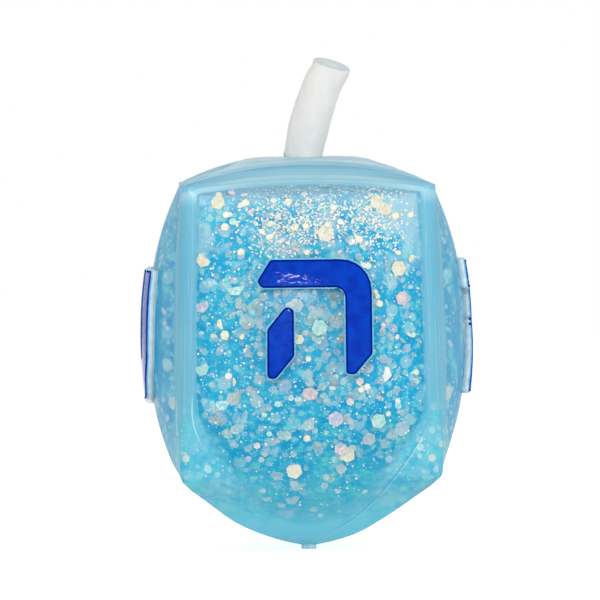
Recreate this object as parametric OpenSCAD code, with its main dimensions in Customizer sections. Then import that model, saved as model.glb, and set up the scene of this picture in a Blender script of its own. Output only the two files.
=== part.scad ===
// Squeezable dreidel: a clear rubber skin filled with tinted gel and hexagonal glitter.
// Units are millimetres. The origin is the point of the tip, +Z runs up the spin axis,
// and the face with the letter he looks along -Y. The gimel face looks along +X.

/* [Skin] */
// Half the width between two corner edges, at the upper corners
top_half = 22.4; // [20:0.1:26]
// Half the width between two corner edges, at the lower corners
low_half = 23.2; // [20:0.1:26]
// How far the middle of each face bows out beyond its corner edges
bulge = 5.6; // [3:0.1:8]
// Fullness of a face from corner to corner: 2 is an arc, more is flatter in the middle
face_fullness = 2.4; // [2:0.1:3.2]
// Height of the straight corner edges
edge_height = 53.2; // [44:0.1:64]
// Height of the lower corners over the end of the tip
low_corner_height = 12.5; // [10:0.1:16]
// Slope of the skin where it leaves the tip
tip_slope = 0.2; // [0.1:0.05:0.3]
// Rise from the upper corners to the roof crease over the middle of a face
crease_rise = 3.6; // [2.5:0.1:5]
// Distance of the roof crease from the axis, over the middle of a face
crease_reach = 13.4; // [11:0.1:16]
// Rise from the crease to the flat middle of the roof
crown_rise = 1.2; // [0.6:0.1:2.5]
// Radius of the flat round middle of the roof
flat_r = 8.2; // [7.6:0.1:9.6]
// How far the upper corners are rounded in
corner_round = 0.7; // [0.3:0.1:1.2]
// How far the upper corners are rounded up
corner_lift = 0.25; // [0.1:0.05:0.6]

/* [Walls] */
// Thickness of the skin at its corner edges and in the middle of its faces
side_wall = 2.4; // [1.8:0.1:3.2]
// Thickness of the skin at the roof
roof_wall = 2.3; // [1.8:0.1:3.2]
// How much lower the upper corners of the cavity lie than those of the skin
shoulder_wall = 1.4; // [1:0.1:2]
// Thickness of the skin over the tip
tip_wall = 2.0; // [1.5:0.1:3]
// How much higher the lower corners of the cavity lie than those of the skin
low_corner_fill = 9.5; // [6:0.1:12]

/* [Tip] */
// Diameter of the flat stub that the dreidel spins on
stub_d = 2.7; // [2:0.1:3.6]
// Height of the stub below the point of the skin
stub_h = 0.5; // [0.3:0.1:0.9]

/* [Stem] */
// Diameter of the rubber stem
stem_d = 7.0; // [6:0.1:8]
// Diameter of its flexing neck and of the root below that
neck_d = 6.5; // [5.6:0.1:6.6]
// Length of the stem over the roof
stem_length = 17.9; // [14:0.1:22]
// Lean of the resting stem towards +X
stem_lean = 17.3; // [0:0.1:20]
// Lean of the resting stem towards the face with the letter he
stem_nod = 13; // [0:1:20]
// Sideways offset of the stem's foot from the axis
stem_offset = -0.3; // [-1.2:0.1:1.2]
// Height of the stem's bending point over the roof, halfway up its flexing neck
bend_height = 1.6; // [1.4:0.1:2.4]
// Length of stem that is held in the fill plug
root_depth = 3.0; // [2:0.1:4]
// Rounding of the stem's outer end
stem_end_round = 0.5; // [0.3:0.1:0.9]
// Width of the dimple in the stem's end
dimple_d = 3.2; // [2:0.1:4.4]
// Depth of the dimple in the stem's end
dimple_depth = 0.25; // [0.1:0.05:0.6]

/* [Fill plug] */
// Rubber around the stem's root, out to the hole that the skin is filled through
plug_wall = 2.4; // [1.8:0.1:3]
// How far the plug's flange reaches past the hole
flange_lip = 1.9; // [1.2:0.1:2.4]
// Thickness of the flange
flange_t = 1.4; // [1:0.1:2]
// Rubber left under the stem's root
plug_floor = 1.3; // [1:0.1:2]
// Least room for gel between the flange and the ceiling of the cavity
flange_gap = 0.3; // [0.2:0.05:0.6]

/* [Letters] */
// Height of a letter over the skin, paint included
relief_h = 1.5; // [1:0.1:2.2]
// Thickness of the blue paint
paint_t = 0.25; // [0.15:0.05:0.4]
// Width of the clear rim that shows around the paint
rim_w = 0.25; // [0.1:0.05:0.5]
// Stroke width of the letters
stroke = 4.9; // [4:0.1:5.4]
// Width of the letter he
he_w = 20.2; // [19:0.1:22]
// Height of the letter he
he_h = 20.9; // [19:0.1:22.5]
// Width of the letter gimel
gimel_w = 14.6; // [13:0.1:17]
// Height of the letter gimel
gimel_h = 23.6; // [21:0.1:25]
// Width of the letter shin
shin_w = 20.6; // [19:0.1:22]
// Height of the letter shin
shin_h = 24.4; // [22:0.1:26]
// Width of the letter nun
nun_w = 12.6; // [11:0.1:15]
// Height of the letter nun
nun_h = 22.6; // [20:0.1:25]

/* [Glitter] */
// Width of a large flake across its corners
large_flake_w = 3.2; // [2.6:0.1:3.6]
// Width of a medium flake across its corners
medium_flake_w = 1.3; // [1:0.1:1.6]
// Width of a fine flake across its corners
fine_flake_w = 0.7; // [0.5:0.1:0.9]
// Thickness of the glitter film
flake_t = 0.12; // [0.08:0.02:0.2]
// Steepest tilt of a flake against the face it lies behind
flake_tilt = 32; // [10:1:40]

/* [Hidden] */

FN_ROUND = 64;
ARC_STEPS = 6;

CLEAR_RUBBER = [0.62, 0.84, 0.92];
MILKY_RUBBER = [0.90, 0.91, 0.91];
TINTED_GEL = [0.10, 0.66, 0.88];
BLUE_PAINT = [0.0, 0.24, 0.72];
CREAM_FILM = [0.98, 0.95, 0.82];
PEARL_FILM = [0.93, 0.90, 0.88];
MINT_FILM = [0.72, 0.95, 0.92];

// Points across one face, rows up the tip, up the edges and over the shoulder, and roof rings
ACROSS = 10;
TIP_ROWS = 6;
EDGE_ROWS = 12;
SHOULDER_ROWS = 3;
ROOF_RINGS = 4;
// Width of the smooth turns in the middle of a face and along the cavity's edges
SMOOTH = 2.2;
// Width of the smooth turn at the skin's own lower corners
CORNER_TURN = 0.4;
// Fullness of the roof from its flat middle to the crease
ROOF_FULLNESS = 1.8;
// Fullness of the arched rows across a face
ROW_FULLNESS = 2.1;

tip_z = stub_h;
low_z = low_corner_height;
top_z = low_z + edge_height;
crease_z = top_z + crease_rise;
crown_z = crease_z + crown_rise;

// A form is one closed pillow: the heights and half widths that its faces are swept from
OUTER = [tip_z, low_z, top_z, crease_z, crown_z, low_half, top_half, crease_reach, CORNER_TURN];
INNER = [
    tip_z + tip_wall,
    low_z + low_corner_fill,
    top_z - shoulder_wall,
    crease_z - roof_wall,
    crown_z - roof_wall,
    low_half - side_wall,
    top_half - side_wall,
    crease_reach - side_wall,
    SMOOTH
];
function tip_of(f) = f[0];
function low_of(f) = f[1];
function top_of(f) = f[2];
function crease_of(f) = f[3];
function crown_of(f) = f[4];
function low_half_of(f) = f[5];
function top_half_of(f) = f[6];
function reach_of(f) = f[7];
function turn_of(f) = f[8];

// The smaller of two lengths, with a smooth turn of width k where they cross
function smooth_min(a, b, k) =
    let (h = max(0, min(1, 0.5 + (b - a) / (2 * k))))
    b * (1 - h) + a * h - k * h * (1 - h);

// Half width between the corner edges if they ran straight on
function edge_half(f, z) =
    low_half_of(f) + (top_half_of(f) - low_half_of(f)) * (z - low_of(f)) / (top_of(f) - low_of(f));

// The curve from the tip out to a lower corner: z = tip + slope * r + curve * r^2
function tip_curve(f) =
    (low_of(f) - tip_of(f) - tip_slope * low_half_of(f)) / pow(low_half_of(f), 2);
function tip_height(f, r) = tip_of(f) + tip_slope * r + tip_curve(f) * r * r;
function tip_reach(f, z) =
    (sqrt(pow(tip_slope, 2) + 4 * tip_curve(f) * max(0, z - tip_of(f))) - tip_slope)
    / (2 * tip_curve(f));

// Distance of a corner edge from the middle planes, at height z up to the upper corners
function corner_half(f, z) = smooth_min(edge_half(f, z), tip_reach(f, z), turn_of(f));

// Distance of the middle line of a face from the axis, at height z up to the crease
function bowed(f, z) =
    edge_half(f, z)
    + bulge * (1 - pow(abs(2 * z - low_of(f) - top_of(f)) / (top_of(f) - low_of(f)), face_fullness));
function shoulder(f, z) =
    top_half_of(f)
    + (top_of(f) - z) * (top_half_of(f) - reach_of(f)) / (crease_of(f) - top_of(f));
function face_reach(f, z) =
    smooth_min(smooth_min(bowed(f, z), tip_reach(f, z), SMOOTH), shoulder(f, z), SMOOTH);

// One row of a face: height in the middle, height at its corners, half width at its corners
function tip_rows(f) = [
    for (i = [1:TIP_ROWS - 1])
        let (z = tip_height(f, low_half_of(f) * i / TIP_ROWS))
        [z, z, corner_half(f, z)]
];
function edge_rows(f) = [
    for (i = [0:EDGE_ROWS])
        let (z = low_of(f) + (top_of(f) - low_of(f)) * (1 - cos(180 * i / EDGE_ROWS)) / 2)
        [z, z, corner_half(f, z)]
];
function shoulder_rows(f) = [
    for (i = [1:SHOULDER_ROWS])
        let (t = i / SHOULDER_ROWS)
        [
            top_of(f) + t * (crease_of(f) - top_of(f)),
            top_of(f) + t * corner_lift,
            top_half_of(f) - t * corner_round
        ]
];
function rows(f) = concat(tip_rows(f), edge_rows(f), shoulder_rows(f));

// A point of the front face, s from -1 at its left corner to 1 at its right corner
function face_point(f, row, s) =
    let (bow = 1 - pow(abs(s), ROW_FULLNESS))
    [
        s * row[2],
        -(row[2] + (face_reach(f, row[0]) - row[2]) * bow),
        row[1] + (row[0] - row[1]) * bow
    ];
function quarter(p, k) =
    k == 0 ? p
    : k == 1 ? [-p[1], p[0], p[2]]
    : k == 2 ? [-p[0], -p[1], p[2]]
    : [p[1], -p[0], p[2]];
function ring(f, row) = [
    for (k = [0:3])
        for (i = [0:ACROSS - 1])
            quarter(face_point(f, row, 2 * i / ACROSS - 1), k)
];
// A roof ring runs from the crease, at u = 1, to the round edge of the flat middle, at u = 0
function roof_ring(f, crease_ring, u) = [
    for (p = crease_ring)
        let (far = norm([p[0], p[1]]), k = (flat_r + (far - flat_r) * u) / far)
        [p[0] * k, p[1] * k, crown_of(f) - (crown_of(f) - p[2]) * pow(u, ROOF_FULLNESS)]
];
// How far the roof lies below its flat middle over the middle of a face
function roof_drop(f, r) =
    crown_rise * pow(max(0, r - flat_r) / (reach_of(f) - flat_r), ROOF_FULLNESS);

module pillow(f) {
    n = 4 * ACROSS;
    face_rings = [for (row = rows(f)) ring(f, row)];
    crease_ring = face_rings[len(face_rings) - 1];
    roof = [for (i = [1:ROOF_RINGS]) roof_ring(f, crease_ring, 1 - i / ROOF_RINGS)];
    rings = concat(face_rings, roof);
    count = len(rings);
    points = concat([[0, 0, tip_of(f)]], [for (r = rings) each r]);
    faces = concat(
        [[for (i = [1:n]) count * n + 1 - i]],
        [
            for (j = [0:count - 2])
                for (i = [0:n - 1])
                    let (a = 1 + j * n + i, b = 1 + j * n + (i + 1) % n)
                    each [[a, a + n, b], [b, a + n, b + n]]
        ],
        [for (i = [0:n - 1]) [0, 1 + i, 1 + (i + 1) % n]]
    );
    polyhedron(points = points, faces = faces, convexity = 4);
}

// The fill hole and the plug that closes it, under the stem
fill_hole_d = neck_d + 2 * plug_wall;
flange_d = fill_hole_d + 2 * flange_lip;
flange_top_z = crown_of(INNER) - roof_drop(INNER, flange_d / 2 + abs(stem_offset)) - flange_gap;
plug_bottom_z = min(flange_top_z - flange_t, crown_z - root_depth - plug_floor);
neck_length = 2 * bend_height;

// Where the paint starts over the skin, and a length that reaches past every letter
paint_from = relief_h - paint_t;
letter_reach = 2 * (low_half + bulge + relief_h);

// The slab between two heights over the front face, on the skin's own facets
module face_slab(from_h, to_h) {
    rows_here = edge_rows(OUTER);
    across = ACROSS + 1;
    count = len(rows_here);
    n = across * count;
    function layer(h) = [
        for (row = rows_here)
            for (i = [0:ACROSS])
                face_point(OUTER, row, 2 * i / ACROSS - 1) - [0, h, 0]
    ];
    cells = [for (j = [0:count - 2]) for (i = [0:ACROSS - 1]) j * across + i];
    left = [for (j = [0:count - 2]) j * across];
    bottom = [for (i = [0:ACROSS - 1]) i];
    last = (count - 1) * across;
    faces = concat(
        [for (a = cells) each [[n + a, n + a + across, n + a + 1],
            [n + a + 1, n + a + across, n + a + across + 1]]],
        [for (a = cells) each [[a, a + 1, a + across], [a + 1, a + across + 1, a + across]]],
        [for (a = left) each [[a, a + across, n + a], [a + across, n + a + across, n + a]]],
        [for (a = left) let (b = a + ACROSS)
            each [[b, n + b, b + across], [b + across, n + b, n + b + across]]],
        [for (a = bottom) each [[a, n + a, a + 1], [a + 1, n + a, n + a + 1]]],
        [for (a = bottom) let (b = a + last)
            each [[b, b + 1, n + b], [b + 1, n + b + 1, n + b]]]
    );
    polyhedron(points = concat(layer(from_h), layer(to_h)), faces = faces, convexity = 4);
}

// A polygon of [x, y, r] corners, each turned through an arc of radius r
function unit(v) = v / norm(v);
function corner_arc(p, q, s) =
    let (
        u = unit([p[0] - q[0], p[1] - q[1]]),
        v = unit([s[0] - q[0], s[1] - q[1]]),
        half = acos(max(-1, min(1, u * v))) / 2,
        reach = q[2] / tan(half),
        centre = [q[0], q[1]] + unit(u + v) * q[2] / sin(half),
        from = [q[0], q[1]] + u * reach - centre,
        to = [q[0], q[1]] + v * reach - centre,
        a = atan2(from[1], from[0]),
        turn = atan2(to[1], to[0]) - a,
        sweep = turn > 180 ? turn - 360 : turn < -180 ? turn + 360 : turn
    )
    [
        for (i = [0:ARC_STEPS])
            centre + q[2] * [cos(a + sweep * i / ARC_STEPS), sin(a + sweep * i / ARC_STEPS)]
    ];
module rounded(corners) {
    n = len(corners);
    polygon([
        for (i = [0:n - 1])
            each corner_arc(corners[(i + n - 1) % n], corners[i], corners[(i + 1) % n])
    ]);
}

// Letters as seen from in front of their face, centred on their own box
module he_outline() {
    x = he_w / 2;
    y = he_h / 2;
    rounded([
        [-x + 2.4, y, 0.5], [x, y, stroke + 0.6], [x, -y + 4.2, 1.2], [x - 3.1, -y + 0.6, 0.9],
        [x - stroke + 0.2, -y + 0.8, 0.5], [x - stroke + 0.2, y - stroke, 1.8],
        [-x + 0.8, y - stroke, 0.9], [-x, y - stroke + 1.1, 0.7]
    ]);
    rounded([
        [-x + 4.9, y - 8.3, 0.9], [-x + 6.4, y - 8.5, 0.9], [-x + 6.4, -y + 4.0, 1.1],
        [-x + 3.1, -y, 0.9], [-x + 1.6, -y, 0.8], [-x + 1.7, y - 12.2, 1.3]
    ]);
}
module gimel_outline() {
    x = gimel_w / 2;
    y = gimel_h / 2;
    rounded([
        [-x + 1.2, y, 0.6], [x - 3.4, y, 3.0], [x - 1.4, y - 9, 4], [x, -y + 0.6, 0.8],
        [x - 1.0, -y, 0.7], [x - stroke + 0.2, -y, 0.9], [x - stroke - 0.7, -y + 6.2, 1.5],
        [-x + 3.6, -y, 0.9], [-x, -y, 0.8], [-x, -y + 1.6, 0.8],
        [x - stroke - 1.4, -y + 12.4, 1.6], [x - stroke - 2.0, y - stroke, 1.2],
        [-x + 0.4, y - stroke, 0.8]
    ]);
}
module shin_outline() {
    x = shin_w / 2;
    y = shin_h / 2;
    w = stroke - 0.7;
    rounded([
        [-x, y, 0.7], [-x + w, y, 0.7], [-x + w + 0.9, -y + w + 2.6, 1.0],
        [-w / 2 - 0.4, -y + w + 4.4, 1.0], [-w / 2 - 0.6, y, 0.7], [w / 2 + 0.2, y, 0.7],
        [w / 2 - 0.2, -y + w + 3.0, 1.2], [x - w - 1.4, -y + w + 5.4, 1.2], [x - w, y, 0.7],
        [x, y, 0.7], [x - 0.4, -y + 8.6, 4.5], [x - 4.6, -y + 1.6, 3.5],
        [-x + 1.6, -y, 0.9]
    ]);
}
module nun_outline() {
    x = nun_w / 2;
    y = nun_h / 2;
    rounded([
        [-x + 3.0, y, 0.6], [x, y, stroke - 0.6], [x, -y, stroke - 0.6], [-x + 0.4, -y, 0.7],
        [-x, -y + stroke - 0.4, 0.8], [x - stroke, -y + stroke, 1.2],
        [x - stroke, y - stroke, 1.2], [-x + 2.0, y - stroke, 0.8]
    ]);
}

// Height of each letter's middle, its sideways place on its face, and the face's quarter turn
he_at = [0.65, 42.4, 0];
gimel_at = [0, 40.0, 90];
nun_at = [0, 40.0, 180];
shin_at = [0, 38.4, 270];

module letter_layer(at, from_h, to_h, rim) {
    rotate([0, 0, at[2]])
        intersection() {
            face_slab(from_h, to_h);
            translate([at[0], 0, at[1]])
                rotate([90, 0, 0])
                    linear_extrude(height = letter_reach)
                        offset(delta = rim)
                            children();
        }
}

module skin() {
    color(CLEAR_RUBBER, 0.5)
        difference() {
            pillow(OUTER);
            pillow(INNER);
            translate([stem_offset, 0, crease_z - flange_d])
                cylinder(d = fill_hole_d, h = 2 * flange_d, $fn = FN_ROUND);
        }
}

module spin_tip() {
    color(CLEAR_RUBBER)
        difference() {
            cylinder(d = stub_d, h = 2 * stub_h, $fn = FN_ROUND);
            pillow(OUTER);
        }
}

module on_stem_axis() {
    translate([stem_offset, 0, crown_z])
        rotate([stem_nod, stem_lean, 0])
            children();
}

module plug_blank() {
    translate([stem_offset, 0, 0])
        rotate_extrude($fn = FN_ROUND)
            polygon([
                [0, plug_bottom_z], [flange_d / 2, plug_bottom_z],
                [flange_d / 2, flange_top_z], [fill_hole_d / 2, flange_top_z],
                [fill_hole_d / 2, crown_z], [0, crown_z]
            ]);
}

module fill_plug() {
    color(CLEAR_RUBBER)
        difference() {
            plug_blank();
            on_stem_axis()
                translate([0, 0, -root_depth])
                    cylinder(d = neck_d, h = root_depth + stem_d, $fn = FN_ROUND);
        }
}

module stem_neck() {
    color(MILKY_RUBBER)
        on_stem_axis()
            translate([0, 0, -root_depth])
                cylinder(d = neck_d, h = root_depth + neck_length, $fn = FN_ROUND);
}

module stem() {
    shaft_end = stem_length - stem_end_round;
    dimple_r = (pow(dimple_d, 2) / 4 + pow(dimple_depth, 2)) / (2 * dimple_depth);
    color(MILKY_RUBBER)
        on_stem_axis()
            difference() {
                union() {
                    translate([0, 0, neck_length])
                        cylinder(d = stem_d, h = shaft_end - neck_length, $fn = FN_ROUND);
                    translate([0, 0, shaft_end])
                        rotate_extrude($fn = FN_ROUND) {
                            square([stem_d / 2 - stem_end_round, stem_end_round]);
                            intersection() {
                                translate([stem_d / 2 - stem_end_round, 0])
                                    circle(r = stem_end_round, $fn = FN_ROUND);
                                square([stem_d / 2, stem_end_round]);
                            }
                        }
                }
                translate([0, 0, stem_length - dimple_depth + dimple_r])
                    sphere(r = dimple_r, $fn = FN_ROUND);
            }
}

module gel_fill() {
    color(TINTED_GEL, 0.8)
        difference() {
            pillow(INNER);
            plug_blank();
        }
}

module relief_he()
    color(CLEAR_RUBBER) letter_layer(he_at, 0, paint_from, rim_w) he_outline();
module relief_gimel()
    color(CLEAR_RUBBER) letter_layer(gimel_at, 0, paint_from, rim_w) gimel_outline();
module relief_shin()
    color(CLEAR_RUBBER) letter_layer(shin_at, 0, paint_from, rim_w) shin_outline();
module relief_nun()
    color(CLEAR_RUBBER) letter_layer(nun_at, 0, paint_from, rim_w) nun_outline();

module paint_he()
    color(BLUE_PAINT) letter_layer(he_at, paint_from, relief_h, 0) he_outline();
module paint_gimel()
    color(BLUE_PAINT) letter_layer(gimel_at, paint_from, relief_h, 0) gimel_outline();
module paint_shin()
    color(BLUE_PAINT) letter_layer(shin_at, paint_from, relief_h, 0) shin_outline();
module paint_nun()
    color(BLUE_PAINT) letter_layer(nun_at, paint_from, relief_h, 0) nun_outline();

// Flakes of one cut drift behind each face in loose columns and levels, and near one depth
module flakes(width, columns, levels, from_z, spread, depth, drift, seed) {
    draws = 5;
    low = from_z + width;
    high = top_of(INNER) - 2 * width;
    cell_h = (high - low) / levels;
    loose = rands(-0.5, 0.5, draws * 4 * columns * levels, seed);
    for (k = [0:3])
        for (i = [0:columns - 1])
            for (j = [0:levels - 1]) {
                n = draws * ((k * columns + i) * levels + j);
                z = low + cell_h * (j + 0.5) + (cell_h - width) * loose[n + 1];
                half = corner_half(INNER, z);
                cell_w = 2 * spread * half / columns;
                x = cell_w * (i + 0.5 - columns / 2) + (cell_w - width) * loose[n];
                at = face_point(INNER, [z, z, half], x / half);
                rotate([0, 0, 90 * k])
                    translate([x, at[1] + depth + drift * loose[n + 2], z])
                        rotate([90 + 2 * flake_tilt * loose[n + 3], 0, 2 * flake_tilt * loose[n + 4]])
                            rotate([0, 0, 60 * loose[n]])
                                cylinder(d = width, h = flake_t, center = true, $fn = 6);
            }
}

lower_flakes_z = (tip_of(INNER) + low_of(INNER)) / 2;

module large_flakes()
    color(CREAM_FILM)
        flakes(
            width = large_flake_w, columns = 3, levels = 4, from_z = low_of(INNER),
            spread = 0.7, depth = 5.0, drift = 2.4, seed = 11
        );
module medium_flakes()
    color(PEARL_FILM)
        flakes(
            width = medium_flake_w, columns = 4, levels = 6, from_z = lower_flakes_z,
            spread = 0.8, depth = 1.8, drift = 0.4, seed = 23
        );
module fine_flakes()
    color(MINT_FILM)
        flakes(
            width = fine_flake_w, columns = 4, levels = 7, from_z = lower_flakes_z,
            spread = 0.85, depth = 0.7, drift = 0.3, seed = 37
        );

skin();
spin_tip();
fill_plug();
stem_neck();
stem();
gel_fill();
relief_he();
relief_gimel();
relief_shin();
relief_nun();
paint_he();
paint_gimel();
paint_shin();
paint_nun();
large_flakes();
medium_flakes();
fine_flakes();
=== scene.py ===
"""A squeezable glitter dreidel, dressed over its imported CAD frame: clear rubber skin, blue gel,
hexagonal glitter, blue painted letters and a milky stem, on white."""

import math
import random

import bmesh
import bpy
from mathutils import Matrix, Vector
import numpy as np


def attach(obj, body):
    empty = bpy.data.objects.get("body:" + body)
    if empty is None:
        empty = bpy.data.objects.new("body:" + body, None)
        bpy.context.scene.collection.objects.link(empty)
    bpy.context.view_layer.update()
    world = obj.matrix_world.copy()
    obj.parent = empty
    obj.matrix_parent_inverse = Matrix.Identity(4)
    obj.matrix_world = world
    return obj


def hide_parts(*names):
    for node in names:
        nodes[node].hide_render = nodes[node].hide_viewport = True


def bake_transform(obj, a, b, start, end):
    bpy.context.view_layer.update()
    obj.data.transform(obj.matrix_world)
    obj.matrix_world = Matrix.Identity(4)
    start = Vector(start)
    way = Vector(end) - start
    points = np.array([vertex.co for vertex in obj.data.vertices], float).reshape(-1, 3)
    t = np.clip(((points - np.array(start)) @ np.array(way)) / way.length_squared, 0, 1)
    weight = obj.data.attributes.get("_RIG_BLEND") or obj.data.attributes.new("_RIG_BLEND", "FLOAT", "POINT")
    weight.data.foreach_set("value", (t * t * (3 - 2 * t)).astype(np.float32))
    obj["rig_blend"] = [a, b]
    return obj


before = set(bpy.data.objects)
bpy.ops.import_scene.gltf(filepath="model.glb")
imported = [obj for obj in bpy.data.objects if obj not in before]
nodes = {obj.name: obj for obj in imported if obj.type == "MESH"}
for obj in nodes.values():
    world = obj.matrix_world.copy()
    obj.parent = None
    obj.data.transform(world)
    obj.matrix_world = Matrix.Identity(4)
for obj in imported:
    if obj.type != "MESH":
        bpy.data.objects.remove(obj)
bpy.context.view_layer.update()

# Lengths below are in millimetres, as in the CAD, and MM turns them into metres
MM = 0.001
TIP_SLOPE = 0.2
BULGE = 5.6
FACE_FULLNESS = 2.4
ROW_FULLNESS = 2.1
ROOF_FULLNESS = 1.8
CROWN_RISE = 1.2
FLAT_R = 8.2
CORNER_ROUND = 0.7
CORNER_LIFT = 0.25
SMOOTH = 2.2
RELIEF_H = 1.5
STROKE = 4.9
RIM_W = 0.25
STEM_FOOT = (-0.3, 0.0, 70.5)
STEM_LEAN = math.radians(17.3)
STEM_NOD = math.radians(13)
STEM_LENGTH = 17.9
STEM_R = 3.5
STEM_NECK = 3.2
HOLE_R = 5.67
DRAWN_UP_RIGHT = 1.5
DRAWN_UP_LEFT = 0.95
WINDOW_TOP = 66.1
WINDOW_ARCH = 1.5
WALL_START = 5.0
# Stands for a place outside of every window, and for one far under the roof's crease
ON_ROOF = -3.0
AT_TIP = 60.0
UP = Vector((0, 0, 1))


def smooth_min(a, b, k):
    h = max(0.0, min(1.0, 0.5 + (b - a) / (2 * k)))
    return b * (1 - h) + a * h - k * h * (1 - h)


def blend01(a, b, x):
    t = max(0.0, min(1.0, (x - a) / (b - a)))
    return t * t * (3 - 2 * t)


def spread(start, stop, steps):
    """Evenly spaced values from start to stop."""
    return [start + (stop - start) * i / steps for i in range(steps + 1)]


def mix(a, b, t):
    return tuple(p + (q - p) * t for p, q in zip(a, b))


def srgb(r, g, b):
    """Linear colour from the 0 to 255 values that a picture shows."""
    return tuple(
        c / 12.92 if c <= 0.04045 else ((c + 0.055) / 1.055) ** 2.4
        for c in (r / 255, g / 255, b / 255)
    )


class Pillow:
    """The closed pillow form that the CAD sweeps its skin and cavity from."""

    def __init__(self, tip, low, top, crease, low_half, top_half, reach, turn, bulge=BULGE):
        self.tip, self.low, self.top, self.crease, self.bulge = tip, low, top, crease, bulge
        self.low_half, self.top_half, self.reach, self.turn = low_half, top_half, reach, turn
        self.crown = crease + CROWN_RISE
        self.curve = (low - tip - TIP_SLOPE * low_half) / low_half**2

    def edge_half(self, z):
        share = (z - self.low) / (self.top - self.low)
        return self.low_half + (self.top_half - self.low_half) * share

    def tip_height(self, r):
        return self.tip + TIP_SLOPE * r + self.curve * r * r

    def tip_reach(self, z):
        rise = max(0.0, z - self.tip)
        return (math.sqrt(TIP_SLOPE**2 + 4 * self.curve * rise) - TIP_SLOPE) / (2 * self.curve)

    def corner_half(self, z):
        return smooth_min(self.edge_half(z), self.tip_reach(z), self.turn)

    def face_reach(self, z):
        off = abs(2 * z - self.low - self.top) / (self.top - self.low)
        bowed = self.edge_half(z) + self.bulge * (1 - off**FACE_FULLNESS)
        slope = (self.top_half - self.reach) / (self.crease - self.top)
        shoulder = self.top_half + (self.top - z) * slope
        return smooth_min(smooth_min(bowed, self.tip_reach(z), SMOOTH), shoulder, SMOOTH)

    def row_point(self, row, s):
        middle_z, corner_z, half = row
        bow = 1 - abs(s) ** ROW_FULLNESS
        y = half + (self.face_reach(middle_z) - half) * bow
        return Vector((s * half, -y, corner_z + (middle_z - corner_z) * bow))

    def face_y(self, x, z):
        """How far out the front face lies at a place below its upper corners."""
        half = self.corner_half(z)
        bow = 1 - min(1.0, abs(x) / half) ** ROW_FULLNESS
        return half + (self.face_reach(z) - half) * bow

    def crease_at(self, x):
        """Height of the roof crease over a place across the front face."""
        s = min(1.0, abs(x) / self.top_half)
        corner = self.top + CORNER_LIFT
        return corner + (self.crease - corner) * (1 - s**ROW_FULLNESS)

    def rows(self, tip_rows, edge_rows, shoulder_rows):
        rows = []
        for i in range(1, tip_rows):
            z = self.tip_height(self.low_half * i / tip_rows)
            rows.append((z, z, self.corner_half(z)))
        for i in range(edge_rows + 1):
            z = self.low + (self.top - self.low) * (1 - math.cos(math.pi * i / edge_rows)) / 2
            rows.append((z, z, self.corner_half(z)))
        for i in range(1, shoulder_rows + 1):
            t = i / shoulder_rows
            middle_z = self.top + t * (self.crease - self.top)
            corner_z = self.top + t * CORNER_LIFT
            rows.append((middle_z, corner_z, self.top_half - t * CORNER_ROUND))
        return rows


OUTSIDE = Pillow(0.5, 12.5, 65.7, 69.3, 23.2, 22.4, 13.4, 1.5)
CAVITY = Pillow(2.5, 22.0, 64.3, 67.0, 20.8, 20.0, 11.0, 2.2)
# The milky depth of the gel, a little way in from the cavity's wall
DEEP = Pillow(4.2, 23.4, 64.1, 66.7, 20.65, 19.85, 10.4, 2.2, 4.9)


QUARTERS = [Matrix.Rotation(k * math.pi / 2, 3, "Z") for k in range(4)]
WHITE = (1.0, 1.0, 1.0)


def link(name, data):
    obj = bpy.data.objects.new(name, data)
    bpy.context.scene.collection.objects.link(obj)
    return obj


def new_object(name, verts, faces, smooth=True):
    """A mesh object from points in millimetres."""
    mesh = bpy.data.meshes.new(name)
    mesh.from_pydata([tuple(c * MM for c in v) for v in verts], [], faces)
    mesh.validate()
    mesh.polygons.foreach_set("use_smooth", [smooth] * len(mesh.polygons))
    mesh.update()
    return link(name, mesh)


def point_values(obj, name, values):
    attribute = obj.data.attributes.new(name, "FLOAT", "POINT")
    attribute.data.foreach_set("value", values)


def point_colours(obj, name, colours):
    attribute = obj.data.attributes.new(name, "FLOAT_COLOR", "POINT")
    attribute.data.foreach_set("color", [c for colour in colours for c in colour])


def settled(p):
    """The soft toy's lower edge has drawn up at the sides, more on the right and in front."""
    inner, rise = (4.0, DRAWN_UP_RIGHT) if p.x > 0 else (12.0, DRAWN_UP_LEFT)
    lift = rise * blend01(inner, 20.0, abs(p.x))
    lift *= max(0.1, min(1.0, 0.55 - 0.45 * p.y / 20.0))
    return p + Vector((0, 0, lift * blend01(2.0, 5.0, p.z) * blend01(32.0, 20.0, p.z)))


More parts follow.
